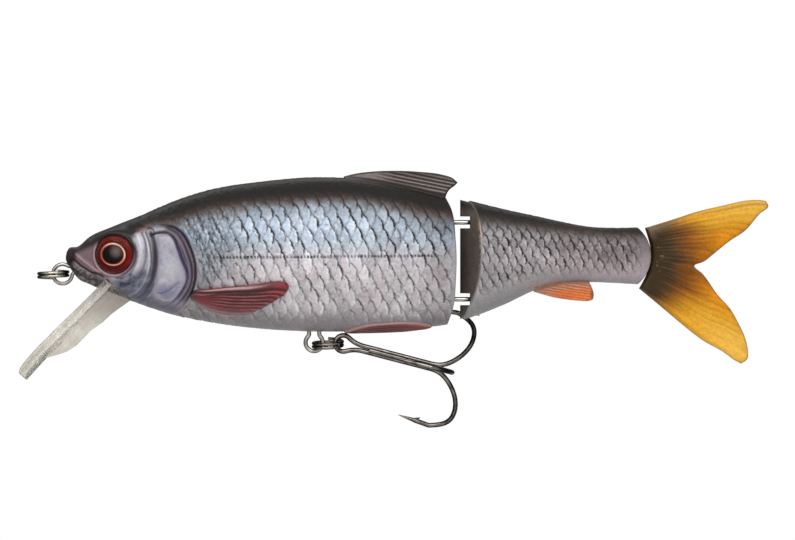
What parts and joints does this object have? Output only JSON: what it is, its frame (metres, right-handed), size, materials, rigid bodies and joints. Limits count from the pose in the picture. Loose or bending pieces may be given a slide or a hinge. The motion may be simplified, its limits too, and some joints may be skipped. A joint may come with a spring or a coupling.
{
  "type": "jointed swimbait fishing lure",
  "caption": "Fish-shaped hard lure in hinged halves with a clear diving lip, bent-wire eyes, split rings, a treble hook and a soft forked tail.",
  "frame": {"origin": "centre of the nose eye, the wire loop that the line pulls on", "axes": "+X from nose to tail, +Z towards the back of the fish, -Y out of the left flank"},
  "size_m": [0.1391, 0.0222, 0.048],
  "materials": {
    "front_paint": "foil-and-lacquer fish scales under gloss clear coat",
    "rear_paint": "foil-and-lacquer fish scales under gloss clear coat",
    "clear_lip": "clear polycarbonate, polished",
    "bright_wire": "bright drawn stainless wire",
    "bright_pin": "plain drawn wire, cut ends",
    "bright_ring": "bright spring wire",
    "dark_ring": "black nickel plate",
    "dark_hook": "black nickel plate, brazed",
    "eye_foil": "printed foil: red iris, gold ring, black pupil",
    "clear_dome": "clear cast resin",
    "weight": "dull cast slug",
    "soft_tail": "soft translucent plastic, amber to orange, olive root"
  },
  "bodies": {
    "front": {"front_shell_left": "front_paint", "front_shell_right": "front_paint", "diving_lip": "clear_lip", "nose_eye": "bright_wire", "belly_eye": "bright_wire", "upper_hinge_eye": "bright_wire", "lower_hinge_eye": "bright_wire", "eye_foil_left": "eye_foil", "eye_foil_right": "eye_foil", "eye_dome_left": "clear_dome", "eye_dome_right": "clear_dome", "belly_ballast": "weight"},
    "rear": {"rear_shell_left": "rear_paint", "rear_shell_right": "rear_paint", "upper_hinge_pin": "bright_pin", "lower_hinge_pin": "bright_pin", "rear_ballast": "weight", "tail_pin": "bright_pin", "tail_tang": "soft_tail"},
    "tail": {"tail_fin": "soft_tail"},
    "line_ring": {"line_ring": "bright_ring"},
    "belly_ring": {"belly_ring": "dark_ring"},
    "treble": {"treble_double_hook": "dark_hook", "treble_single_hook": "dark_hook"}
  },
  "joints": [
    {"name": "rear_swing", "type": "hinge", "parent": "front", "child": "rear", "pos_m": [0.0767, 0, 0.00245], "axis": [0, 0, 1], "range_deg": [-25, 25]},
    {"name": "tail_flex", "type": "hinge", "parent": "rear", "child": "tail", "pos_m": [0.1104, 0, 0.0034], "axis": [0, 0, 1], "range_deg": [-22, 22], "stiffness_Nm_per_rad": 0.002},
    {"name": "line_ring_swing", "type": "hinge", "parent": "front", "child": "line_ring", "pos_m": [0, 0, 0], "axis": [0, 1, 0], "range_deg": [-70, 70]},
    {"name": "belly_ring_swing", "type": "hinge", "parent": "front", "child": "belly_ring", "pos_m": [0.0468, 0, -0.01275], "axis": [0, 1, 0], "range_deg": [0, 60]},
    {"name": "treble_swing", "type": "hinge", "parent": "belly_ring", "child": "treble", "pos_m": [0.05207, 0, -0.01289], "axis": [0, 1, 0], "range_deg": [0, 45]}
  ]
}
